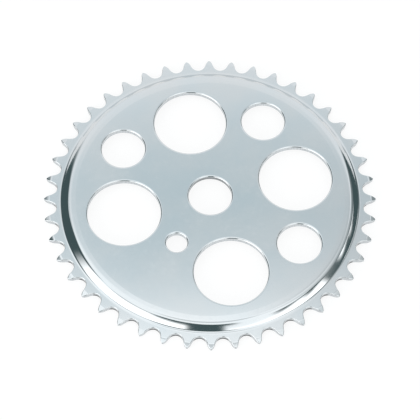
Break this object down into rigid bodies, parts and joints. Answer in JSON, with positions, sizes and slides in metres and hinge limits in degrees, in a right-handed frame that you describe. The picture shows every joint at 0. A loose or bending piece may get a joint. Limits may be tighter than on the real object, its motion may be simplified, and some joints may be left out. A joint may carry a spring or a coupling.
{
  "type": "bicycle crank sprocket",
  "caption": "Chrome plated pressed steel crank sprocket: raised flat disc with round holes, a rolled shoulder and a rim of teeth for half inch roller chain.",
  "frame": {"origin": "on the axis of the centre bore, in the flat back of the tooth ring", "axes": "+Z along the bore towards the raised outboard face; -Y from the bore to the drive pin hole; +X to the small hole a quarter turn round from it"},
  "size_m": [0.184, 0.184, 0.0062],
  "materials": {
    "chrome_plating": "bright decorative chrome over polished pressed steel, with faint polishing marks, duller on the punched walls of the holes"
  },
  "bodies": {
    "root": {"sprocket_plate": "chrome_plating"}
  },
  "joints": []
}
